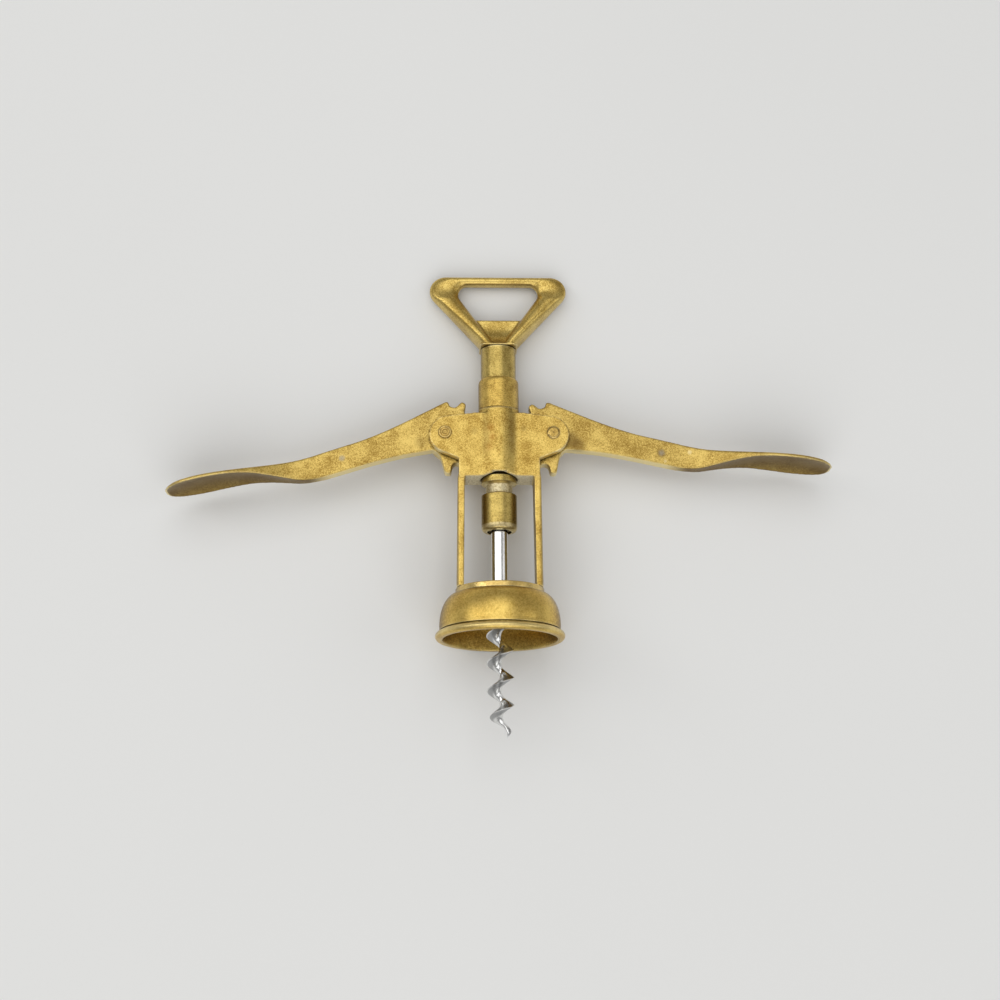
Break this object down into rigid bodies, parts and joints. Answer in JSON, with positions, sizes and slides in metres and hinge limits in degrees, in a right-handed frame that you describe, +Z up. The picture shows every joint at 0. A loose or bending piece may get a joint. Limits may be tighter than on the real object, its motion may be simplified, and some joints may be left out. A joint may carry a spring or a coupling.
{
  "type": "wing corkscrew",
  "caption": "Wing corkscrew: winged levers with toothed heads lift a grooved rack and bladed worm through a bell, with a stirrup cap lifter for a handle.",
  "frame": {"origin": "centre of the bounding box, at the floor that the bell's rim and the back of the handle rest on", "axes": "+X along the spread levers to the right one, +Y from the worm's point towards the handle (the axis leans down 8.27 degrees towards the handle), +Z up, out of the front"},
  "size_m": [0.2296, 0.162, 0.0434],
  "materials": {
    "cast_brass": "old cast brass, satin, with mottled brown patina and bright worn edges",
    "turned_brass": "old turned brass, satin, with faint turning marks and brown patina",
    "bright_brass": "pale turned brass, satin",
    "pin_brass": "dull brass, with turned rings and a dark edge",
    "bright_steel": "bright plated steel, polished, lightly scratched",
    "plain_steel": "plain steel"
  },
  "bodies": {
    "frame": {"body_casting": "cast_brass", "foot_ring": "bright_brass", "bell": "turned_brass", "guide_collar": "turned_brass", "left_pivot_pin": "pin_brass", "right_pivot_pin": "pin_brass"},
    "rack": {"rack_sleeve": "turned_brass"},
    "spindle": {"handle": "cast_brass", "worm": "bright_steel", "shank_washer": "pin_brass", "handle_pin": "plain_steel"},
    "left_lever": {"left_lever": "cast_brass"},
    "right_lever": {"right_lever": "cast_brass"}
  },
  "joints": [
    {"name": "rack_slide", "type": "slide", "parent": "frame", "child": "rack", "axis": [0, 0.9896, -0.1439], "range_m": [-0.0114, 0.0158]},
    {"name": "handle_turn", "type": "hinge", "parent": "rack", "child": "spindle", "pos_m": [-0.00072, 0.054, 0.00695], "axis": [0, 0.9896, -0.1439], "continuous": true},
    {"name": "left_lever_swing", "type": "hinge", "parent": "frame", "child": "left_lever", "pos_m": [-0.01942, 0.02213, 0.01158], "axis": [0, -0.1439, -0.9896], "range_deg": [-72, 52]},
    {"name": "right_lever_swing", "type": "hinge", "parent": "frame", "child": "right_lever", "pos_m": [0.01798, 0.02213, 0.01158], "axis": [0, 0.1439, 0.9896], "range_deg": [-72, 52]}
  ],
  "couplings": [
    {"joint": "left_lever_swing", "follows": "rack_slide", "rad_per_m": -79.365},
    {"joint": "right_lever_swing", "follows": "rack_slide", "rad_per_m": -79.365}
  ]
}
